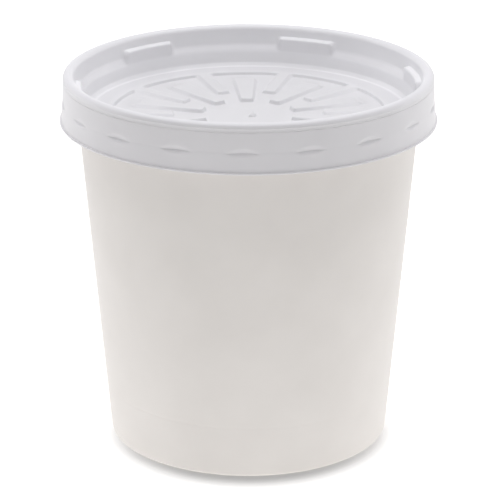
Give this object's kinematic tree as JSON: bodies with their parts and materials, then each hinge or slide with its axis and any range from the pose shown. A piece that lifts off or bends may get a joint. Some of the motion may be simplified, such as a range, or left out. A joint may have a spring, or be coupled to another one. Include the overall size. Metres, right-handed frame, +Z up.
{
  "type": "paper food container",
  "caption": "Round tapered paper food container, shut by a vented press-on lid with stacking lugs and a panel of radial petals.",
  "frame": {"origin": "centre of the foot, on the surface that the container stands on", "axes": "+Z up the container's axis, -Y towards the front, +X to the front's right"},
  "size_m": [0.0984, 0.0984, 0.0985],
  "materials": {
    "coated_paper": "white coated paperboard, matt with a faint waxy sheen",
    "base_paper": "white coated paperboard, matt",
    "lid_plastic": "thin white thermoformed plastic, satin, slightly translucent"
  },
  "bodies": {
    "root": {"paper_cup": "coated_paper", "base_disc": "base_paper", "vented_lid": "lid_plastic"}
  },
  "joints": []
}
